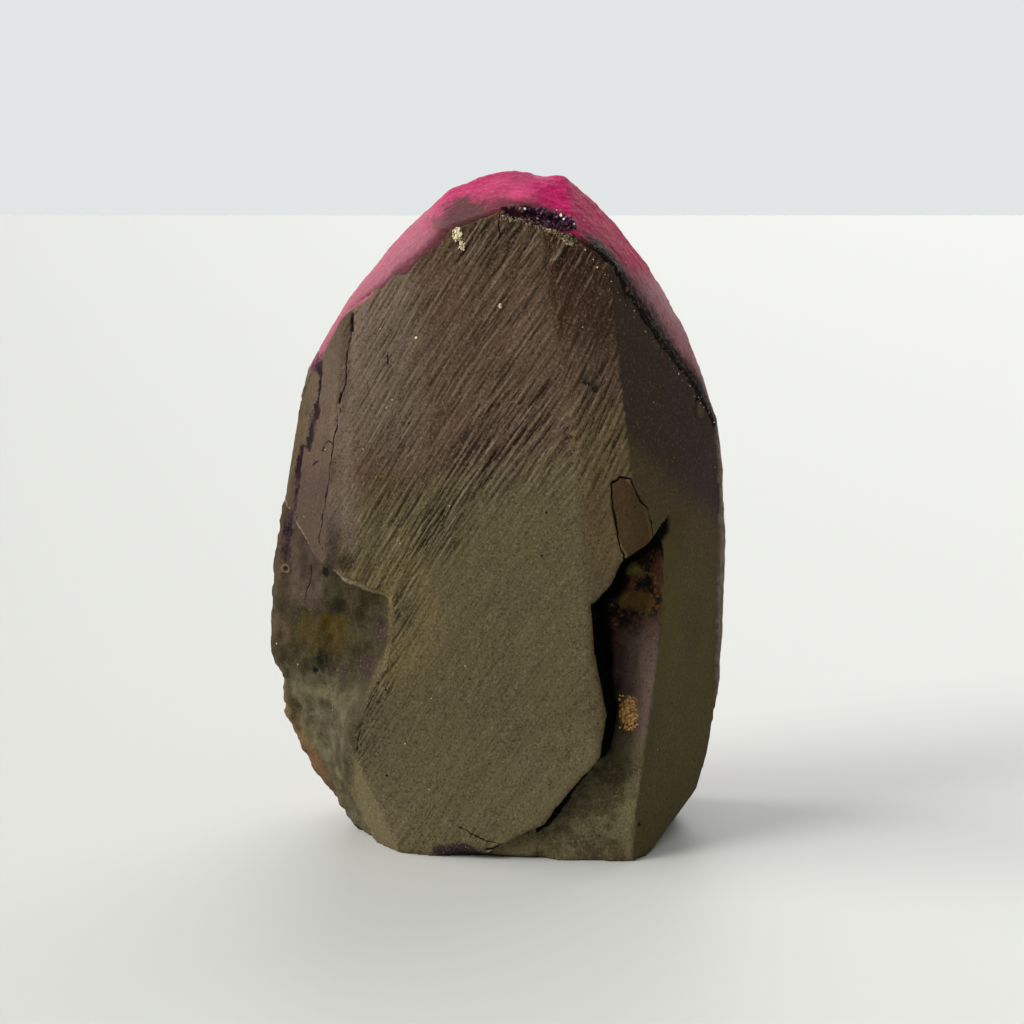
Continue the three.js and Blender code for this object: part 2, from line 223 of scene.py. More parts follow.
# Light from all round: low and high, and a broad screen on the crystals' side.
ROOM_STRENGTH = (0.1, 0.52)
SCREEN = (0.2, 0.85, 0.49)
SCREEN_STRENGTH = 1.3


# ---- shader arithmetic ----

def maths_method(operation, turned=False):
    """A method that joins a signal with another value by a Math node; turned puts the signal second."""
    def method(self, *others):
        values = (*others, self) if turned else (self, *others)
        return self.nodes.maths(operation, *values)
    return method


class Signal:
    """A shader socket that takes part in Python arithmetic by adding Math nodes."""

    __add__ = __radd__ = maths_method("ADD")
    __mul__ = __rmul__ = maths_method("MULTIPLY")
    __sub__ = maths_method("SUBTRACT")
    __rsub__ = maths_method("SUBTRACT", turned=True)
    __truediv__ = maths_method("DIVIDE")
    __pow__ = maths_method("POWER")
    __abs__ = maths_method("ABSOLUTE")

    def __init__(self, nodes, socket):
        self.nodes = nodes
        self.socket = socket

    def step(self, low, high):
        """0 below low and 1 above high, with a smooth rise between; low may be the larger."""
        ends = (high, low, 1, 0) if low > high else (low, high, 0, 1)
        inputs = {0: self, **dict(enumerate(ends, 1))}
        return self.nodes.node("MapRange", {"interpolation_type": "SMOOTHSTEP"}, inputs)

    def patches(self, first, second, low=0.35, high=0.65):
        """One colour where the signal lies towards low, another where it lies towards high."""
        return self.nodes.mix(self.step(low, high), first, second)

    def sway(self, amount):
        """A noise from 0 to 1, moved to swing about 0 by half the amount to either side."""
        return amount * (self - 0.5)


def full_colour(colour):
    """Red, green and blue, given in thousandths, as shares of full light; and alpha."""
    return (*(part / 1000 for part in colour), 1)


class Nodes:
    """A shader's nodes, added by method calls."""

    def __init__(self, tree):
        self.tree = tree

    def node(self, kind, settings=None, inputs=None, output=0):
        made = self.tree.nodes.new("ShaderNode" + kind)
        for key, value in (settings or {}).items():
            setattr(made, key, value)
        for key, value in (inputs or {}).items():
            self.plug(made.inputs[key], value)
        return Signal(self, made.outputs[output])

    def plug(self, socket, value):
        if isinstance(value, Signal):
            self.tree.links.new(value.socket, socket)
        elif socket.type == "RGBA" and len(value) == 3:
            socket.default_value = full_colour(value)
        else:
            socket.default_value = value

    def maths(self, operation, *values):
        return self.node("Math", {"operation": operation}, dict(enumerate(values)))


class Finish(Nodes):
    """One material, with the places and the patterns that its colours are laid by."""

    def __init__(self, name):
        self.material = bpy.data.materials.new(name)
        self.material.use_nodes = True
        super().__init__(self.material.node_tree)
        self.tree.nodes.clear()
        self.output = self.tree.nodes.new("ShaderNodeOutputMaterial")
        place = self.node("TexCoord", output="Object")
        into_rock = {0: place, 1: (1 / MM,) * 3, 2: tuple(TO_ROCK)}
        self.place = self.node("VectorMath", {"operation": "MULTIPLY_ADD"}, into_rock)
        self.x, self.y, self.z = (
            self.node("SeparateXYZ", None, {0: self.place}, axis) for axis in range(3)
        )

    def mix(self, share, first, second):
        return self.node("Mix", {"data_type": "RGBA"}, {0: share, 6: first, 7: second}, 2)

    def tinted(self, colour, layers):
        """The colour with tints laid over it in turn, each given with its share."""
        for share, tint in layers:
            colour = self.mix(share, colour, tint)
        return colour

    def spotted(self, colour, spots):
        """The colour with spots on it: place, reach, raggedness, softness, share and tint of each."""
        for place, reach, ragged, softness, share, tint in spots:
            colour = self.mix(self.spot(place, reach, ragged, softness) * share, colour, tint)
        return colour

    def noise(self, size, detail=3, roughness=0.55, place=None):
        inputs = {"Vector": place or self.place, "Scale": 1 / size, "Detail": detail, "Roughness": roughness}
        return self.node("TexNoise", None, inputs)

    def cells(self, size, output="Distance"):
        return self.node("TexVoronoi", None, {"Vector": self.place, "Scale": 1 / size}, output)

    def ramp(self, value, stops):
        shown = self.node("ValToRGB", None, {0: value})
        elements = shown.socket.node.color_ramp.elements
        while len(elements) < len(stops):
            elements.new(0.5)
        for element, (position, colour) in zip(elements, stops):
            element.position = position
            element.color = full_colour(colour)
        return shown

    def __getitem__(self, name):
        """One of the fields that the mesh carries at its points."""
        return self.node("Attribute", {"attribute_name": name}, None, "Fac")

    def spot(self, place, reach, ragged=0, softness=0.5):
        """1 at a place on the back, given as (x, z), falling to 0 at its reach across and up."""
        u, v = (self.x - place[0]) / reach[0], (self.z - place[1]) / reach[1]
        away = (u * u + v * v) ** 0.5
        if ragged:
            away += self.rag.sway(ragged)
        return away.step(1, 1 - softness)

    def bump(self, height, strength=1):
        return self.node("Bump", None, {"Height": height, "Strength": strength, "Distance": MM})

    def surface(self, colour, roughness, **inputs):
        """A surface, whose further inputs are named with underscores for spaces."""
        named = {key.replace("_", " "): value for key, value in inputs.items()}
        return self.node("BsdfPrincipled", None, {"Base Color": colour, "Roughness": roughness, **named})

    def show(self, shader, volume=None):
        self.plug(self.output.inputs["Surface"], shader)
        if volume is not None:
            self.plug(self.output.inputs["Volume"], volume)
        return self.material


# ---- fields over the rock ----

def rise(value, low, high):
    """0 at low and 1 at high, with a smooth slope between; low may be the larger."""
    share = np.clip((value - low) / (high - low), 0, 1)
    return share * share * (3 - 2 * share)


def bell(value, middle=0, width=1):
    """1 at the middle, falling off smoothly on both sides."""
    return np.exp(-((value - middle) / width) ** 2)


def waviness(x, y, z, size):
    u, v, w = x / size, y / size, z / size
    broad = np.sin(1.9 * u + 1.3 * np.sin(1.7 * w)) + np.sin(2.3 * w + 0.9 * u + 1.1 * np.sin(2.1 * v))
    fine = np.sin(4.7 * u - 3.1 * v + 1.3) * np.cos(4.1 * w + 2.2 * v)
    return (broad + fine) / 3


def seam(x, z):
    """y of the surface where basalt meets quartz."""
    swing = SEAM["swing"] * np.tanh((z - SEAM["z"]) / SEAM["rise"])
    left = SEAM["left"] * rise(-x, 0, 18)
    return SEAM["y"] - swing - left - SEAM["turn"] * x + 0.7 * waviness(x, 0, z, 22)


def bowl(x, z):
    """y of the bowl that the crystals grow from."""
    height = np.clip(z / HEIGHT, 0, 1)
    floor = BOWL_FLOOR["bottom"] + (BOWL_FLOOR["top"] - BOWL_FLOOR["bottom"]) * height * height
    from_middle = np.minimum(1.2, np.hypot(x / 36, (z - 50) / 56))
    return floor + BOWL_EDGE * from_middle ** 3 + 1.1 * waviness(x, 0, z, 16)


def bumps(points, seed):
    """Smooth noise from -1 to 1 over space, one bump to a unit."""
    base = np.floor(points).astype(np.int64)
    part = points - base
    part = part * part * (3 - 2 * part)
    total = np.zeros(len(points))
    for corner in np.ndindex(2, 2, 2):
        key = (base + corner) @ np.array([73856093, 19349663, 83492791]) + seed * 374761393
        key = ((key ^ (key >> 13)) * 1274126177) & 0xFFFFFFFF
        value = ((key ^ (key >> 15)) & 0xFFFF) / 32767.5 - 1
        total += value * np.prod(np.where(corner, part, 1 - part), axis=1)
    return total


def fractal(points, size, octaves=3, seed=0):
    return sum(bumps(points / size * 2 ** k, seed + k) / 2 ** k for k in range(octaves))


def scallops(points, size, seed):
    """Smooth hollows that meet in ridges, from -1 to 1."""
    return 1 - 2 * np.abs(fractal(points, size, 2, seed))


def from_line(flat, line):
    """How far each (x, z) lies from a line, and on which side: positive on the left of its run."""
    nearest, side = np.full(len(flat), np.inf), np.ones(len(flat))
    for start, end in zip(np.array(line[:-1], float), np.array(line[1:], float)):
        run = end - start
        away = flat - start
        share = np.clip(away @ run / (run @ run), 0, 1)
        distance = np.linalg.norm(away - share[:, None] * run, axis=1)
        closer = distance < nearest
        side = np.where(closer, np.sign(run[0] * away[:, 1] - run[1] * away[:, 0]), side)
        nearest = np.where(closer, distance, nearest)
    return nearest, nearest * side


def across_lines(x, z):
    """Place across the grinding lines; for arrays and for shader signals alike."""
    return x - LINE_LEAN * z - LINE_TURN * (x + 2) * (x + 2)


def along_lines(x, z):
    return LINE_LEAN * x + z


def across_strip(x, z):
    return x - STRIP_LEAN * z


def lozenge_share(x, z, half_width, half_height):
    """Below 1 inside the brown lozenge above the ledge; for arrays and for shader signals alike."""
    across = (x + 0.26 * (z - 54.5) - 20.9) / half_width
    up = (z - 54.6) / half_height
    return across * across + up * up


def across_right(x, z):
    """Place across the edge between the broad ground face and the narrow strip, which runs at about 21."""
    return x + 0.142 * z


def vug_share(points):
    """Below 1 inside the small hollow at the top of the back, which drops to the right."""
    level = Matrix.Rotation(-math.radians(VUG["fall"]), 3, "Y")
    return np.linalg.norm((points - VUG["at"]) @ np.array(level).T / VUG["radii"], axis=1)


# ---- mesh helpers ----

def node_mesh(node):
    """A welded copy of a solid's mesh, in the rock's millimetres."""
    bm = bmesh.new()
    bm.from_mesh(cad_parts[node].data)
    bmesh.ops.remove_doubles(bm, verts=bm.verts, dist=0.001 * MM)
    return in_rock_millimetres(bm)


def in_rock_millimetres(bm):
    bmesh.ops.scale(bm, vec=(1 / MM,) * 3, verts=bm.verts)
    bmesh.ops.translate(bm, vec=TO_ROCK, verts=bm.verts)
    return bm


def linked(name, data):
    """A new object with this data, in the scene."""
    made = bpy.data.objects.new(name, data)
    bpy.context.scene.collection.objects.link(made)
    return made


def loose_object(name, bm):
    mesh = bpy.data.meshes.new(name)
    bm.to_mesh(mesh)
    bm.free()
    return linked(name, mesh)


def remove_object(made):
    mesh = made.data
    bpy.data.objects.remove(made)
    bpy.data.meshes.remove(mesh)


def with_modifier(bm, kind, picked=None, **settings):
    """The bmesh after one modifier, in a new bmesh; the modifier works on the picked vertices, if any."""
    carrier = loose_object("carrier", bm)
    modifier = carrier.modifiers.new(kind, kind)
    for key, value in settings.items():
        setattr(modifier, key, value)
    if picked is not None:
        group = carrier.vertex_groups.new(name="picked")
        group.add(np.flatnonzero(picked).tolist(), 1, "REPLACE")
        modifier.vertex_group = group.name
    evaluated = carrier.evaluated_get(bpy.context.evaluated_depsgraph_get())
    result = bmesh.new()
    result.from_mesh(evaluated.to_mesh())
    evaluated.to_mesh_clear()
    remove_object(carrier)
    return result


def voxel_mesh(bm, size):
    return with_modifier(bm, "REMESH", mode="VOXEL", voxel_size=size)


def thin_out(bm, picked, ratio):
    """Collapses the picked vertices' faces to a share of their number; the others stay."""
    return with_modifier(bm, "DECIMATE", picked, ratio=1 - (1 - ratio) * float(np.mean(picked)))


def combined(bm, other, operation, solver):
    """A closed mesh joined with another, or what the two share."""
    tool = loose_object("tool", other)
    result = with_modifier(bm, "BOOLEAN", operation=operation, solver=solver, object=tool)
    remove_object(tool)
    return result


def refine(bm, wanted, *more):
    """Halves the edges of the faces that wanted(centres, normals, *more) picks."""
    bm.normal_update()
    centres = np.array([face.calc_center_median() for face in bm.faces])
    normals = np.array([face.normal for face in bm.faces])
    picked = wanted(centres, normals, *more)
    edges = dict.fromkeys(edge for face, pick in zip(bm.faces, picked) if pick for edge in face.edges)
    bmesh.ops.subdivide_edges(bm, edges=list(edges), cuts=1, use_grid_fill=True)


def points_of(bm):
    bm.normal_update()
    places = np.array([vertex.co for vertex in bm.verts])
    normals = np.array([vertex.normal for vertex in bm.verts])
    return places, normals, places.T


def move_to(bm, places):
    for vertex, place in zip(bm.verts, places):
        vertex.co = place


def without_its_edge(bm, picked, rings=3):
    """The picked vertices less a few rings of them along their edge."""
    for _ in range(rings):
        ends = [(edge.verts[0].index, edge.verts[1].index) for edge in bm.edges]
        picked[[index for pair in ends if picked[pair[0]] != picked[pair[1]] for index in pair]] = False
    return picked


def finish_piece(name, bm, material, node, slot, fields=None, smooth=True):
    """Carries a mesh into the frame, keeps it inside the solids' box, and makes it a piece."""
    bmesh.ops.translate(bm, vec=-TO_ROCK, verts=bm.verts)
    bmesh.ops.scale(bm, vec=(MM,) * 3, verts=bm.verts)
    for vertex in bm.verts:
        for axis in range(3):
            vertex.co[axis] = min(max(vertex.co[axis], CAD_BOX[0][axis]), CAD_BOX[1][axis])
    piece = loose_object(name, bm)
    for field, values in (fields or {}).items():
        attribute = piece.data.attributes.new(field, "FLOAT", "POINT")
        attribute.data.foreach_set("value", np.asarray(values, np.float32))
    piece.data.polygons.foreach_set("use_smooth", [smooth] * len(piece.data.polygons))
    piece.data.materials.append(material)
    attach(piece, "root")
    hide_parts(node)
    return piece


# ---- basalt ----

def line_strength(x, z, normals):
    """How strongly the grinding lines mark the surface, from 0 to about 1."""
    edge = 62 - 0.054 * (np.minimum(x, 10) - 7) ** 2
    foot_band = 0.38 * bell(z - edge, 6, 9) * (1 - 0.7 * rise(x, 6, 12))
    top_band = 0.35 * rise(z, 92, 97) * rise(x, -10, -7)
    strength = 0.22 + 0.5 * rise(z - edge, -6, 8) + foot_band + top_band
    strength *= 1 - 0.55 * rise(-x, 19, 24) * rise(z, 46, 56)
    strength += 0.15 * rise(z, 14, 5)
    strength *= rise(np.sqrt(lozenge_share(x, z, 2.9, 7.4)), 0.8, 1.1)
    return strength * rise(-normals[:, 1], 0.6, 0.9)


def line_ridges(x, z):
    """Broken ridges between the grinding lines, from about -1 to 1."""
    into_strip = rise(across_right(x, z), 20.4, 22.4)
    across = across_lines(x, z) + into_strip * (LINE_LEAN - STRIP_LEAN) * (z - 75)
    along = along_lines(x, z)
    wander = 0.5 * bumps(np.stack([across / 2.2, along / 9, 0 * z], 1), 10)
    regular = np.sin(2 * math.pi * (across / LINE_SPACING + wander))
    coarse = bumps(np.stack([across / 0.7, along / 8, 0 * z], 1), 11)
    fine = bumps(np.stack([across / 0.42, along / 5, 0 * z], 1), 12)
    return 0.5 * regular + 0.5 * coarse + 0.7 * fine


def back_fields(points, normals):
    """Named places on the back, as signed distances or shares, for the relief and for the finish."""
    x, y, z = points.T
    flat = points[:, [0, 2]]
    on_back = (normals[:, 1] < 0.5) & (y < seam(x, z) - 0.2)
    broken = np.where(on_back & (x < -10), -from_line(flat, BREAK_EDGE)[1], FAR_OUTSIDE)
    lip = np.where(on_back & (x > -6), from_line(flat, LEDGE)[1], FAR_OUTSIDE)
    beside = np.where(on_back & (x > 6), -from_line(flat, RECESS_EDGE)[1], FAR_OUTSIDE)
    shaken = flat + 0.24 * np.stack([bumps(points / 0.9, seed) for seed in (71, 72)], 1)
    uneven = 1 + 0.35 * bumps(points / 1.7, 73)
    crack, pit, depth = NOT_NEAR, NOT_NEAR, 0
    for line, half_width, line_depth in CRACKS:
        away = from_line(shaken, line)[0] / (half_width * uneven)
        depth = np.maximum(depth, line_depth * bell(away))
        crack = np.minimum(crack, away)
    for place, radius in PITS:
        away = np.linalg.norm(shaken - place, axis=1) / radius
        depth = np.maximum(depth, 0.8 * radius * bell(away))
        pit = np.minimum(pit, away)
    ring = np.linalg.norm(flat - VESICLE, axis=1)
    crack, pit, ring = (np.where(on_back, field, NOT_NEAR) for field in (crack, pit, ring))
    return {
        "broken": broken, "lip": lip, "beside": beside, "crack": crack, "pit": pit, "ring": ring,
        "depth": np.where(on_back, depth, 0), "from_seam": np.abs(y - seam(x, z)), "vug": vug_share(points),
    }


def basalt_relief(points, normals, fields):
    """How far each point lifts from the plain solid, and more fields for the finish."""
    x, y, z = points.T
    lip, beside, broken, ring = (fields[name] for name in ("lip", "beside", "broken", "ring"))
    on_break = rise(broken, 0, 0.8)
    behind_lip = rise(lip, 0, 0.5)
    right = rise(normals[:, 0], 0.42, 0.6) * (1 - behind_lip * rise(beside, 0.6, 2.4))
    sunk = behind_lip * rise(beside, -3.5, -2.5)
    recess = sunk * rise(z, 14, 18)
    lump = sunk * rise(z, 18, 14)
    ground = (1 - behind_lip) * (1 - on_break)

    uneven = 0.9 + 0.3 * bumps(points / 9, 31) + 0.2 * bumps(points / 3.2, 32)
    strength = line_strength(x, z, normals) * ground * np.clip(uneven, 0.2, 1.5)
    ridges = line_ridges(x, z)
    lift = 0.22 * strength * ridges
    lift += 0.14 * fractal(points, 11, 3, 41) * ground + 0.045 * fractal(points, 1.1, 3, 42)
    quieter = 1 - 0.65 * rise(z, 32, 37) * rise(-x, 27, 31)
    lift += on_break * quieter * (0.55 * scallops(points, 5.2, 51) + 0.3 * scallops(points, 2.1, 54))
    lift += on_break * 0.11 * fractal(points, 0.9, 2, 57)
    lift += 0.2 * bell(broken, 0, 0.8) * bumps(points / 0.8, 58)
    lift += recess * (1 - right) * (0.35 * scallops(points, 3.5, 61) + 0.13 * fractal(points, 0.9, 2, 64))
    lift += lump * (1 - right) * (0.3 * fractal(points, 3.6, 3, 66) + 0.15 * fractal(points, 1, 2, 69))
    lift -= 0.9 * bell(lip, 0.9, 0.9) * rise(z, 8, 20) * (lip > 0)
    lift -= 0.35 * bell(lip, 0.25, 0.3)
    lift -= fields["depth"]
    lift += 0.28 * bell(ring, RING_RADIUS, 0.22) - 0.35 * bell(ring, 0, 0.4)
    crumble = bell(fields["from_seam"]) * rise(z, 60, 66) * rise(x, -12, -4)
    lift -= 0.3 * crumble * (0.6 + 0.8 * bumps(points / 1.1, 81))
    return lift, {"lines": strength, "ridges": ridges, "recess": recess, "lump": lump, "right": right}


def basalt_piece():
    """The basalt: finer where lines and cracks are cut into it, coarser where nothing shows."""
    bm = voxel_mesh(node_mesh(BASALT[0]), BASALT_VOXEL)
    places, normals, (x, y, z) = points_of(bm)
    hidden = (y > seam(x, z) - 0.5) & (normals[:, 1] > 0.45)
    bm = thin_out(bm, without_its_edge(bm, hidden), 0.06)
    places, normals, (x, y, z) = points_of(bm)
    plain = (normals[:, 2] < -0.8) | ((normals[:, 0] > 0.6) & (z < 60) & (x > 27))
    bm = thin_out(bm, without_its_edge(bm, plain, 4), 0.2)

    def lined(centres, normals):
        x, y, z = centres.T
        above = (z > 58 - 0.054 * (x - 7) ** 2) & ((z > 43) | (x > -18) & (z > 18))
        return (normals[:, 1] < -0.72) & above & (x > -25) & (x < 21)

    def cracked(centres, normals, reach):
        flat = centres[:, [0, 2]]
        away = np.min([from_line(flat, line)[0] for line, _, _ in CRACKS], axis=0)
        on_ring = np.linalg.norm(flat - VESICLE, axis=1) < 1.1 + reach
        return (normals[:, 1] < -0.25) & ((away < reach) | on_ring)

    refine(bm, lined)
    refine(bm, cracked, 0.6)
    refine(bm, cracked, 0.35)
    places, normals, (x, y, z) = points_of(bm)
    fields = back_fields(places, normals)
    lift, more_fields = basalt_relief(places, normals, fields)
    lift[(y > seam(x, z) - 0.3) & (normals[:, 1] > 0.5)] = 0
    moved = places + lift[:, None] * normals
    moved[:, 2] = np.maximum(moved[:, 2], 0)
    move_to(bm, moved)
    fields.update(more_fields)
    return finish_piece("basalt_body", bm, basalt_finish(), *BASALT, fields)


def ground_colour(f):
    """The ground faces: brown above, olive below, redder in a strip on the right."""
    x, z, waver, mottle = f.x, f.z, f.waver, f.mottle
    level = z + waver
    taupe = (x + waver).step(-8, -17) * level.step(60, 72) * level.step(99, 90)
    red_strip = (across_right(x, z) + mottle.sway(0.5)).step(20.6, 21.8) * level.step(76, 88)
    beside_strip = across_right(x, z).step(20.2, 22.2) * level.step(78, 71) * level.step(40, 50)
    colour = level.patches((108, 68, 44), (104, 64, 39), 84, 96)
    colour = f.tinted(colour, [
        (taupe * 0.9, (156, 114, 80)),
        (red_strip, (62, 31, 18)),
        ((z - 0.25 * x + waver).step(67, 60), (112, 90, 45)),
        (f.spot((-17, 40), (10, 15)) * mottle.step(0.35, 0.6) * 0.9, (160, 122, 50)),
        (level.step(30, 8) * 0.8, (134, 108, 55)),
        (f.clouds.step(0.5, 0.75) * z.step(56, 46) * 0.5, (102, 88, 48)),
        (beside_strip * 0.8, (152, 106, 50)),
    ])
    return f.spotted(colour, GROUND_SPOTS)


def right_colour(f):
    """The darker ground face on the right: brown and purple above, olive below."""
    level = f.z + f.x + f.waver
    upper = (f.clouds + 0.04 * (f.x - 26)).patches((55, 37, 25), (56, 37, 31), 0.42, 0.6)
    lower = f.clouds.patches((100, 78, 28), (88, 68, 28), 0.4, 0.62)
    lower = level.patches(lower, (94, 64, 32), 76, 84)
    return level.patches(upper, lower, 92, 84)


def left_colour(f):
    """The narrow taupe faces on the left."""
    strip = f.mottle.patches((91, 63, 43), (75, 51, 36), 0.4, 0.62)
    strip = f.mix((f.z + f.waver).step(66, 58) * 0.85, strip, (60, 38, 30))
    outer = f.mottle.patches((82, 56, 32), (50, 34, 20), 0.42, 0.6)
    return (f.x - 0.21 * f.z).patches(strip, outer, -45.8, -46.6)


def broken_colour(f):
    """The rough face low on the left."""
    x, z, rag = f.x, f.z, f.rag
    upper = rag.patches((23, 18, 8), (44, 35, 16))
    lower = rag.patches((62, 51, 28), (104, 88, 50), 0.36, 0.64)
    colour = (z + 0.5 * f.waver).patches(upper, lower, 31, 24)
    lilac = (x + rag.sway(1.2)).step(-28.6, -29.4) * (z + rag.sway(5)).step(37, 40)
    colour = f.mix(lilac, colour, rag.patches((80, 56, 40), (52, 36, 26)))
    colour = f.spotted(colour, BREAK_SPOTS)
    tinge = f.grains.patches((36, 20, 20), (110, 86, 50), 0.58, 0.68)
    colour = f.spotted(colour, [(place, reach, 2.6, 0.5, 0.85, tinge) for place, reach in BREAK_TINGES])
    rim = (x + 0.55 * z + rag.sway(1.6)).step(-22, -24) * z.step(29, 26) * z.step(4, 8)
    outer = (x + rag.sway(0.5)).step(-34.3, -35.4) * z.step(29, 33)
    return f.tinted(colour, [
        (rim * 0.85, z.patches((125, 85, 36), (120, 62, 30), 17, 13)),
        (outer, rag.patches((70, 48, 26), (40, 30, 16))),
    ])


def recess_colour(f, lip):
    """Behind the ledge: dark and rusty above, purple brown below it, olive at the foot; the rust and the
    purple brown carry painted shade that darkens them towards the ledge.
    """
    z, mottle = f.z, f.mottle
    # Painted shade of the ledge: the rust is darker near the lip and lighter away from it.
    painted_light_past_ledge = (lip + mottle.sway(3)).step(0.5, 4.5)
    red = (f.noise(2.1, 4, 0.65) + 0.06 * painted_light_past_ledge).step(0.5, 0.62)
    rust = f.mix(red, (7, 4, 3), f.mix(painted_light_past_ledge, (28, 11, 7), (70, 26, 15)))
    ochre = (f.noise(1.5, 4, 0.65) + 0.05 * painted_light_past_ledge).step(0.6, 0.7)
    rust = f.spotted(f.mix(ochre * 0.8, rust, (140, 95, 22)), RECESS_SPOTS)
    # Painted shade of the ledge: the purple brown darkens towards the lip.
    purple = (lip + mottle.sway(2)).patches((62, 36, 31), (142, 96, 77), 2.6, 6.8)
    inside = (z - 0.4 * lip + f.rag.sway(5)).patches(rust, purple, 37, 28)
    inside = f.mix(f.spot(RUSTY_PATCH, (1.9, 2.9), 1.5), inside, (300, 170, 60))
    foot = (z + mottle.sway(5)).step(23, 17) * (1 - f.spot(RUSTY_PATCH, (3, 3), 0, 0.3))
    return f.mix(foot, inside, (112, 93, 48))


def basalt_colour(f):
    """The colour of each face of the rock, with painted highlight and shade on the grinding lines and
    painted deep shade behind the ledge.
    """
    x, z, rag = f.x, f.z, f.rag
    broken, lip, lines = f["broken"], f["lip"], f["lines"]
    f.on_left = (x - 0.06 * (z - 60)).step(-24.4, -25.6) * z.step(40, 46)
    colour = f.mix(f.on_left * 0.9, ground_colour(f), left_colour(f))
    ridge_light_and_groove_shade = 0.7 * f.streak + 0.15 + f.grains.sway(0.25) + 0.08 * f["ridges"]
    # Painted shade along the edge of the rough face low on the left, where its rim catches the light.
    painted_rim_shade = abs(broken - 0.2).step(1.3, 0.4) * z.step(43, 40) * z.step(6, 12)
    chips = abs(broken - 0.1).step(0.26, 0.1) * f.noise(1.5, 2).step(0.36, 0.5)
    chips *= z.step(40, 43) * x.step(-18, -25)
    f.lozenge = lozenge_share(x, z, 2.8, 7.3).step(1, 0.85) * lip.step(0.1, -0.1)
    width = 1 + 0.8 * z.step(13, 20) + 1.5 * z.step(26, 36) * z.step(46, 42)
    in_shade = lip.step(-0.05, 0.15) * ((lip + rag.sway(0.9)) / width).step(1.15, 0.75)
    f.shade = in_shade * x.step(-2, 2) * f["beside"].step(-1, -0.3)
    over_lip = lip.step(-1.5, 0) * lip.step(0.2, 0) * z.step(20, 25) * z.step(45, 40)
    return f.tinted(f.spotted(colour, LEFT_SPOTS), [
        # Painted highlight on the ridge tops and painted shade in the grooves of the grinding lines.
        (ridge_light_and_groove_shade.step(0.53, 0.66) * lines * 0.6, (240, 188, 130)),
        (ridge_light_and_groove_shade.step(0.5, 0.37) * lines * 0.9, (24, 14, 9)),
        ((broken + rag.sway(1.3)).step(0, 0.4), broken_colour(f)),
        (painted_rim_shade * 0.6, (48, 38, 19)),
        (chips * 0.55, (240, 180, 120)),
        (f["recess"], recess_colour(f, lip)),
        (f["lump"], rag.patches((66, 54, 24), (118, 100, 50), 0.38, 0.62)),
        (f["right"], right_colour(f)),
        (f.lozenge, (82, 50, 21)),
        (f.shade, (1.5, 1.2, 1)),
        (over_lip * f.mottle.step(0.42, 0.6) * 0.6, (90, 66, 20)),
    ])


def basalt_marks(f, colour):
    """Stains, dots, pits and cracks, over the colour of the rock."""
    x, z, rag, mottle, grains = f.x, f.z, f.rag, f.mottle, f.grains
    right, recess, from_seam = f["right"], f["recess"], f["from_seam"]
    dark_seam = (from_seam + mottle.sway(0.8)).step(1, 0.5) * x.step(9, 14) * z.step(64, 67)
    black_green = grains.patches((7, 5, 3), (75, 50, 30), 0.56, 0.7)
    colour = f.mix(dark_seam, colour, black_green)
    for place, reach in BLACK_SPOTS:
        blot = f.spot(place, reach, 1.2, 0.4) * (grains + mottle).step(0.92, 1.06)
        colour = f.mix(blot, colour, (7, 10, 8))
    vug_edge = (f["vug"] + mottle.sway(0.25)).step(1.35, 1.1)
    light = (1 - 0.7 * f["broken"].step(0, 0.5)) * (1 - 0.3 * right) * (1 - 0.75 * recess)
    light *= (1 - 0.8 * f.lozenge) * (1 - 0.6 * f.on_left) * (1 - f.shade)
    dots, holes = (
        f.cells(apart).step(size, size - 0.02) * f.cells(apart, "Color").step(0.62, 0.66)
        for apart, size in ((2.6, 0.05), (4.3, 0.06))
    )
    cracked = f["crack"] + grains.sway(0.9)
    cracked += (f.noise(0.9, 3, 0.6).sway(3.2) + rag.sway(0.8)) * x.step(-20, -23)
    in_crack = (rag + grains.sway(0.3)).patches((12, 5, 8), (44, 24, 26), 0.42, 0.62)
    film = (from_seam + rag.sway(1)).step(2, 1.5) * x.step(-19, -22)
    pink = rag.patches((280, 75, 105), (380, 120, 160))
    return f.tinted(colour, [
        (vug_edge * 0.8, (60, 34, 20)),
        (f.spot((-6.3, 0.8), (6, 2.4), 0.8), (36, 20, 24)),
        (grains.step(0.54, 0.68) * 0.38 * light, (270, 215, 150)),
        (grains.step(0.47, 0.33) * 0.55 * (1 - 0.15 * right), (26, 18, 11)),
        (dots * (1 - recess), (600, 520, 400)),
        (holes, (10, 7, 5)),
        ((f["pit"] + grains.sway(0.5)).step(1.15, 0.75), (8, 6, 5)),
        (abs(f["ring"] - RING_RADIUS).step(0.3, 0.1) * 0.5, (220, 170, 110)),
        (cracked.step(1.5, 0.6) * 0.95, x.patches(in_crack, (10, 6, 4), -20, -16)),
        (
            film * (z + rag.sway(2)).step(76.8, 78.2),
            (z + rag.sway(2)).patches(pink, (45, 14, 30), 80, 78.4),
        ),
    ])


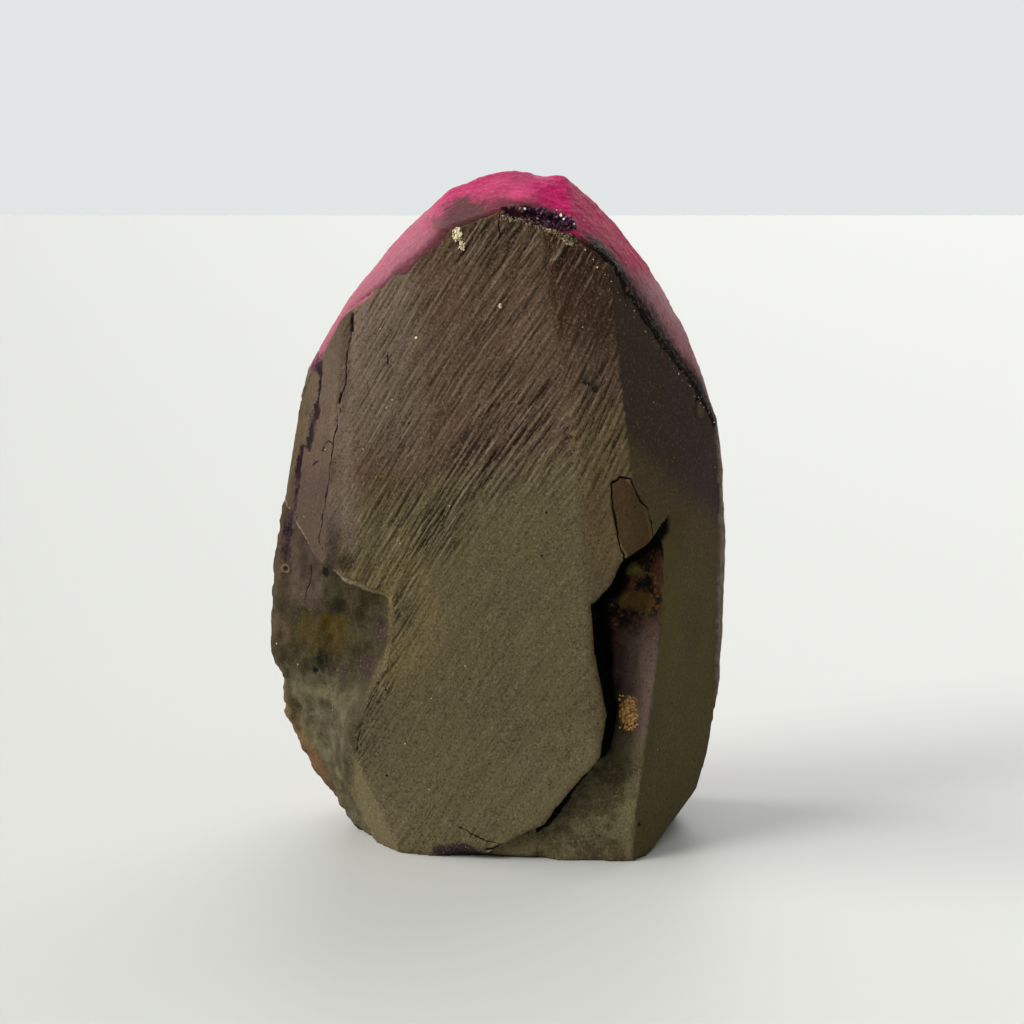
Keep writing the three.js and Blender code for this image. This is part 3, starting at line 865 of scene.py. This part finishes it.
def basalt_finish():
    f = Finish("ground_basalt")
    f.clouds = f.noise(13, 4)
    f.mottle = f.noise(4.5, 4)
    f.rag = f.mottle + f.noise(1.5, 4, 0.65).sway(0.7)
    f.grains = f.noise(0.42, 3, 0.7)
    f.waver = f.clouds.sway(7) + f.mottle.sway(4)
    along = along_lines(f.x, f.z) / 7.5
    on_ground, on_strip = (
        f.noise(1, 2, 0.7, f.node("CombineXYZ", None, {0: across(f.x, f.z) / 0.48, 1: along, 2: f.y / 3}))
        for across in (across_lines, across_strip)
    )
    f.streak = on_ground + across_right(f.x, f.z).step(20.6, 21.8) * (on_strip - on_ground)
    colour = basalt_marks(f, basalt_colour(f))
    height = 0.36 * f.streak * f["lines"] + 0.12 * f.grains + 0.045 * f.noise(0.2, 2, 0.6)
    return f.show(f.surface(colour, 0.85, Specular_IOR_Level=0.06, Normal=f.bump(height)))


# ---- quartz rind ----

def slab_mesh(back, front):
    """A closed slab over the whole rock, between two surfaces given as y for each x and z."""
    bm = bmesh.new()
    bmesh.ops.create_grid(bm, x_segments=60, y_segments=80, size=0.5)
    bmesh.ops.scale(bm, vec=(100, HEIGHT + 20, 1), verts=bm.verts)
    upright = Matrix.Rotation(math.radians(90), 3, "X")
    bmesh.ops.rotate(bm, cent=(0, 0, 0), matrix=upright, verts=bm.verts)
    bmesh.ops.translate(bm, vec=(0, 0, HEIGHT / 2), verts=bm.verts)
    grown = bmesh.ops.extrude_face_region(bm, geom=bm.faces[:])
    lifted = {item for item in grown["geom"] if isinstance(item, bmesh.types.BMVert)}
    for vertex in bm.verts:
        surface = front if vertex in lifted else back
        vertex.co.y = float(surface(vertex.co.x, vertex.co.z))
    bmesh.ops.recalc_face_normals(bm, faces=bm.faces)
    return bm


def rind_piece():
    """The quartz between the basalt and the crystals."""
    behind = slab_mesh(lambda x, z: -BEYOND, lambda x, z: bowl(x, z) + 0.3)
    bm = combined(node_mesh(CRYSTAL[0]), behind, "INTERSECT", "EXACT")
    bm = voxel_mesh(bm, RIND_VOXEL)
    places, normals, (x, y, z) = points_of(bm)
    hidden = (y < seam(x, z) + 0.6) & (normals[:, 1] < -0.6)
    bm = thin_out(bm, without_its_edge(bm, hidden), 0.08)

    def on_rim(centres, normals):
        x, y, z = centres.T
        return (normals[:, 1] < 0.3) & (z > 58) & (y > seam(x, z) + 0.4)

    refine(bm, on_rim)
    places, normals, (x, y, z) = points_of(bm)
    from_seam = y - seam(x, z)
    share = from_seam / (bowl(x, z) - seam(x, z))
    lift = 0.16 * fractal(places, 5, 4, 101) + 0.06 * fractal(places, 0.9, 2, 102)
    streaks = bumps(np.stack([from_seam / 0.8, x / 8, z / 8], 1), 103)
    streaks += 0.6 * bumps(np.stack([from_seam / 0.35, x / 4, z / 4], 1), 104)
    lift += 0.03 * streaks
    steps = np.floor(2.2 * bumps(places / 3.2, 105)) / 2.2
    lift += 0.35 * steps * rise(share, 0.4, 0.8) * rise(x, 8, 16)
    lift[(normals[:, 1] < -0.7) & (from_seam < 0.75)] = 0.32
    move_to(bm, places + lift[:, None] * normals)
    fields = {"streak": streaks, "from_seam": from_seam, "share": share, "facing": normals[:, 1]}
    fields["vug"] = vug_share(places)
    return finish_piece("quartz_rind", bm, rind_finish(), *CRYSTAL, fields)


def rind_finish():
    f = Finish("milky_pink_quartz")
    x, z = f.x, f.z
    share, streak = f["share"], f["streak"]
    clouds, mottle, fine = f.noise(4, 4), f.noise(1.6, 4, 0.6), f.noise(0.6, 4, 0.65)
    f.rag = rag = mottle + fine.sway(0.5)
    edge = share + clouds.sway(0.2) + rag.sway(0.22)
    left, top, upper_right, right = (f.ramp(edge, stops) for stops in RIND_BANDS)
    magenta = mottle.patches((400, 2, 80), (660, 3, 145), 0.35, 0.6)
    top = f.spotted(top, [
        ((3.2, 106.4), (3.8, 2.4), 1.2, 0.9, 0.8, (700, 55, 200)),
        ((9.8, 105.8), (6.6, 6.4), 1.4, 0.9, 1, magenta),
    ])
    colour = (x + clouds.sway(3)).patches(top, left, -7, -14)
    colour = (x + clouds.sway(3)).patches(colour, upper_right, 10, 14.5)
    colour = f.tinted(colour, [
        ((z + rag.sway(6)).step(96, 90) * x.step(12, 15), right),
        (f.spot((13, 101.6), (3.6, 4.2), 1.4, 0.9) * 0.75, (520, 12, 105)),
        (streak.step(0.4, 1.2) * 0.16, (720, 300, 380)),
        (streak.step(-0.4, -1.2) * 0.22, (160, 12, 40)),
        (fine.step(0.54, 0.68) * 0.24, (740, 240, 350)),
        (fine.step(0.46, 0.32) * 0.45, (160, 10, 40)),
    ])

    ragged_share = share + rag.sway(0.4)
    low_edge = x.step(20, 24) * (z + rag.sway(4)).step(69.5, 65) * ragged_share.step(0.95, 0.65)
    seam_line = (f["from_seam"] + rag.sway(2)).step(1.9, 1) * x.step(12, 16)
    seam_line *= (1 - low_edge) * share.step(0.95, 0.8)
    low_left = x.step(-20, -24) * (z + rag.sway(2)).step(78, 76.5) * ragged_share.step(0.75, 0.45)
    between_points = mottle.patches((340, 28, 110), (620, 200, 330), 0.35, 0.6)
    vug = f["vug"] + rag.sway(0.25)
    colour = f.tinted(f.spotted(colour, RIND_SPOTS), [
        (low_edge, rag.patches((120, 88, 62), (205, 152, 116))),
        (seam_line, fine.patches((10, 6, 4), (160, 100, 70), 0.54, 0.66)),
        (low_left, rag.patches((100, 68, 40), (60, 42, 24))),
        (f["facing"].step(0.45, 0.7), between_points),
        (share.step(0.97, 1.06), clouds.patches((660, 300, 430), (880, 700, 760), 0.42, 0.62)),
        # Darker round the small hollow and near black inside it: partly the dark purple druse, partly
        # painted shade in the hollow.
        (vug.step(1.9, 1.2) * x.step(12, 9) * 0.75, (130, 20, 34)),
        (vug.step(1.16, 1.02), mottle.patches((12, 4, 7), (30, 7, 14), 0.4, 0.6)),
    ])
    return f.show(f.surface(
        colour, 0.5, Specular_IOR_Level=0.08, Normal=f.bump(0.16 * fine + 0.1 * mottle),
        Subsurface_Weight=0.15, Subsurface_Radius=(1, 0.35, 0.45), Subsurface_Scale=0.8 * MM,
    ))


# ---- amethyst points ----

def add_point(bm, place, axis, spin, radius, length, lean):
    """One six-sided quartz point, its root at the place and its tip along the axis."""
    turn = axis.to_track_quat("Z", "Y").to_matrix().to_4x4() @ Matrix.Rotation(spin, 4, "Z")
    matrix = Matrix.Translation(place) @ turn
    stem = bmesh.ops.create_cone(
        bm, cap_ends=True, segments=6, radius1=0.92 * radius, radius2=radius, depth=length, matrix=matrix,
    )
    top_vertices = [vertex for vertex in stem["verts"] if (matrix.inverted() @ vertex.co).z > 0]
    top = next(face for face in top_vertices[0].link_faces if all(v in top_vertices for v in face.verts))
    tip = bmesh.ops.poke(bm, faces=[top])["verts"][0]
    tip.co += axis * radius * 1.15 + turn.to_3x3() @ Vector((lean[0] * radius, lean[1] * radius, 0))


def growing_points(tree):
    """Sets of small points between the large ones; no two of a set touch each other."""
    draw = random.Random(GROWTH_SEED)
    sets = []
    taken = []
    for _ in range(GROWTH_TRIES):
        x, z = draw.uniform(-38, 38), draw.uniform(1, 108)
        radius = 0.75 + 1.35 * draw.random() ** 1.8
        spin, lean = draw.uniform(0, math.pi), (draw.uniform(-0.25, 0.25), draw.uniform(-0.25, 0.25))
        tilt = Vector((draw.gauss(0, 0.22), 1, draw.gauss(0, 0.22)))
        hits = [
            tree.ray_cast(Vector((x + u * radius, BEYOND, z + w * radius)), Vector((0, -1, 0)))
            for u, w in ((0, 0), (1.7, 0), (-1.7, 0), (0, 1.7), (0, -1.7))
        ]
        if any(hit[0] is None or hit[0].y < bowl(x, z) - 2 for hit in hits):
            continue
        place, normal = hits[0][:2]
        above = place.y - float(bowl(x, z))
        if above > 1.3 or normal.y < 0.3 or z < 1.4 * radius + 0.5:
            continue
        if any((u - x) ** 2 + (w - z) ** 2 < (0.7 * (r + radius)) ** 2 for u, w, r in taken):
            continue
        taken.append((x, z, radius))
        axis = (tilt + 0.45 * normal).normalized()
        point = (place + axis * (0.1 * radius), axis, spin, radius, 1.7 * radius + 1, lean)
        for members in sets:
            if all((other[0] - place).length > 1.4 * (other[3] + radius) + 0.8 for other in members):
                members.append(point)
                break
        else:
            sets.append([point])
    return sets


def amethyst_points_piece():
    """The large points of the solids, with many small ones grown together with them."""
    crust = node_mesh(CRYSTAL[0])
    tree = BVHTree.FromBMesh(crust)
    in_front = slab_mesh(lambda x, z: bowl(x, z) - 0.7, lambda x, z: BEYOND)
    bm = combined(crust, in_front, "INTERSECT", "EXACT")
    for members in growing_points(tree):
        small = bmesh.new()
        for point in members:
            add_point(small, *point)
        bm = combined(bm, small, "UNION", "MANIFOLD")
    finish_piece("amethyst_points", bm, crystal_finish(), *CRYSTAL, smooth=False)


def crystal_finish():
    f = Finish("clear_pink_amethyst")
    veils = f.noise(2.2, 3)
    shader = f.surface(
        (980, 880, 920), 0.01 + 0.05 * veils.step(0.5, 0.75), IOR=QUARTZ_IOR,
        Transmission_Weight=0.96, Normal=f.bump(0.03 * veils, 0.5),
    )
    depth = f.node("VolumeAbsorption", None, {"Color": (950, 250, 600), "Density": 190})
    return f.show(shader, depth)


# ---- grains ----

def seen_from_behind(tree, x, z):
    """Where the back's surface lies at (x, z), with its normal; the place is None beside the rock."""
    return tree.ray_cast(Vector((x, -BEYOND, z)), Vector((0, 1, 0)))[:2]


def grains_piece(basalt, rind):
    """Grains of tan and golden druse on the lip of the small hollow, along the seam and in the recess."""
    bodies = bmesh.new()
    bodies.from_mesh(basalt.data)
    bodies.from_mesh(rind.data)
    tree = BVHTree.FromBMesh(in_rock_millimetres(bodies))
    bodies.free()
    draw = random.Random(GRAIN_SEED)
    bm = bmesh.new()

    def scatter(place, reach, count, sizes):
        for _ in range(count):
            x, z = (
                middle + 1.2 * spread * max(min(draw.gauss(0, 0.5), 1), -1)
                for middle, spread in zip(place, reach)
            )
            hit, normal = seen_from_behind(tree, x, z)
            size = sizes[0] + (sizes[1] - sizes[0]) * draw.random() ** 2
            angle = draw.uniform(0, 3)
            turn = Matrix.Rotation(angle, 4, Vector([draw.gauss(0, 1) for _ in range(3)]).normalized())
            stretch = Matrix.Diagonal((size, size * draw.uniform(0.6, 1), size * draw.uniform(0.5, 0.9), 1))
            if hit is not None:
                matrix = Matrix.Translation(hit + normal * 0.2 * size) @ turn @ stretch
                bmesh.ops.create_icosphere(bm, subdivisions=1, radius=1, matrix=matrix)

    for place, reach, count, sizes in GRAIN_PATCHES:
        scatter(place, reach, count, sizes)
    for start, end in zip(VUG_LIP[:-1], VUG_LIP[1:]):
        for share in np.linspace(0, 1, 9, endpoint=False):
            place = tuple(a + (b - a) * share for a, b in zip(start, end))
            scatter(place, (0.35, 0.35), 8, (0.08, 0.28))
    scatter((11.2, 99.4), (1.3, 1), 44, FINE_GRAINS)
    for share in np.linspace(0, 1, 30):
        scatter((13.5 + 22 * share, 98.4 - 29.5 * share ** 0.93), (0.5, 0.5), 1, FINE_GRAINS)
    finish_piece("tan_grains", bm, grain_finish(), *BASALT, smooth=False)


def grain_finish():
    f = Finish("tan_druse")
    mottle = f.noise(0.5, 2)
    tan = mottle.patches((600, 480, 270), (960, 900, 620))
    orange = mottle.patches((340, 165, 45), (850, 500, 190))
    on_lip = mottle.patches((85, 55, 26), (400, 310, 160), 0.4, 0.68)
    colour = f.spotted(tan, [
        (RUSTY_PATCH, (3.6, 4), 0, 0.3, 1, orange),
        ((0.2, 88.6), (1.2, 1.2), 0, 0.2, 1, (550, 380, 330)),
        ((6, 101), (9.5, 3.6), 0, 0.2, 1, on_lip),
    ])
    return f.show(f.surface(colour, 0.45, Specular_IOR_Level=0.4))


def vug_points_piece():
    """Dark points that line the small hollow at the top of the back, and a few round it that are painted
    near white as painted glints.
    """
    tree = BVHTree.FromBMesh(node_mesh(CRYSTAL[0]))
    draw = random.Random(VUG_SEED)
    bm = bmesh.new()
    ranges = [(-1, 1), (-0.2, 1), (-1, 1)]
    for _ in range(240):
        offset = [draw.uniform(*span) * radius for span, radius in zip(ranges, VUG["radii"])]
        hit, normal, _, distance = tree.find_nearest(Vector(VUG["at"]) + Vector(offset))
        if distance > 2 or vug_share(np.array([hit]))[0] > 1.1:
            continue
        size = draw.uniform(0.14, 0.42)
        axis = (normal + 0.5 * Vector([draw.gauss(0, 0.5) for _ in range(3)])).normalized()
        lean = (draw.uniform(-0.2, 0.2), draw.uniform(-0.2, 0.2))
        add_point(bm, hit, axis, draw.uniform(0, 1), size, 1.6 * size, lean)
    for x, z, size in VUG_PAINTED_GLINTS:
        hit, normal = seen_from_behind(tree, x, z)
        if hit is not None:
            axis = (normal + Vector((draw.uniform(-0.4, 0.4), -0.6, 0.3))).normalized()
            add_point(bm, hit, axis, draw.uniform(0, 1), size, 2 * size, (0, 0))
    finish_piece("vug_points", bm, vug_finish(), *CRYSTAL, smooth=False)


def vug_finish():
    f = Finish("dark_purple_druse")
    dark = f.x.patches((150, 50, 30), (22, 5, 22), 3.2, 5.2)
    colour = f.noise(0.7, 1).patches(dark, (75, 14, 34), 0.35, 0.7)
    # Painted glints: the bright points round the hollow are painted near white.
    for x, z, size in VUG_PAINTED_GLINTS:
        painted_glint = f.spot((x, z), (1.6 * size, 1.6 * size), 0, 0.1)
        colour = f.mix(painted_glint, colour, (900, 840, 840))
    return f.show(f.surface(colour, 0.32, IOR=QUARTZ_IOR, Specular_IOR_Level=0.25))


# ---- studio ----

def make_camera():
    data = bpy.data.cameras.new("camera")
    data.sensor_width = 36
    data.lens = data.sensor_width / 2 / math.tan(FIELD_OF_VIEW / 2)
    data.clip_start = 0.01
    camera = linked("camera", data)
    look = Vector((0, math.cos(ELEVATION), -math.sin(ELEVATION)))
    camera.location = Vector((AIM - TO_ROCK) * MM) - look * DISTANCE * MM
    camera.rotation_euler = look.to_track_quat("-Z", "Y").to_euler()
    bpy.context.scene.camera = camera


def make_sun(name, towards, strength, softness):
    """A broad even light that comes from the given direction."""
    data = bpy.data.lights.new(name, "SUN")
    data.energy = strength
    data.angle = math.radians(softness)
    data.color = (1, 0.985, 0.96)
    linked(name, data).rotation_euler = Vector(towards).to_track_quat("Z", "Y").to_euler()


def make_room():
    """Soft white light from all round, brighter from above and from a broad screen on the crystals' side."""
    world = bpy.data.worlds.new("studio")
    world.use_nodes = True
    room = Nodes(world.node_tree)
    direction = room.node("TexCoord", output="Generated")
    height = room.node("SeparateXYZ", None, {0: direction}, 2)
    product = {"operation": "DOT_PRODUCT"}
    towards_screen = room.node("VectorMath", product, {0: direction, 1: SCREEN}, 1)
    screen = towards_screen.step(0.78, 0.93) * SCREEN_STRENGTH
    low, high = ROOM_STRENGTH
    sky = low + (high - low) * room.maths("MAXIMUM", height, 0)
    light = room.node("Background", None, {"Color": (980, 990, 1000), "Strength": sky + screen})
    wall = room.node("Background", None, {"Color": (760, 790, 790)})
    seen = room.node("LightPath", output="Is Camera Ray")
    shown = room.node("MixShader", None, {0: seen, 1: light, 2: wall})
    room.plug(world.node_tree.nodes["World Output"].inputs["Surface"], shown)
    bpy.context.scene.world = world
    bpy.context.scene.view_settings.view_transform = "Standard"


def make_floor():
    bm = bmesh.new()
    bmesh.ops.create_grid(bm, x_segments=1, y_segments=1, size=6)
    floor = loose_object("pale_floor", bm)
    f = Finish("pale_floor")
    paint = f.surface((590, 600, 570), 0.5, Specular_IOR_Level=0.15)
    floor.data.materials.append(f.show(paint))


# ---- assembly ----

make_camera()
make_floor()
make_sun("key", (-0.78, -0.4, 0.5), 2.6, 30)
make_sun("window", (-0.85, 0.12, 0.45), 1.6, 30)
make_sun("crystal_side", (0.25, 0.75, 0.6), 0.45, 40)
make_room()
basalt = basalt_piece()
rind = rind_piece()
amethyst_points_piece()
vug_points_piece()
grains_piece(basalt, rind)
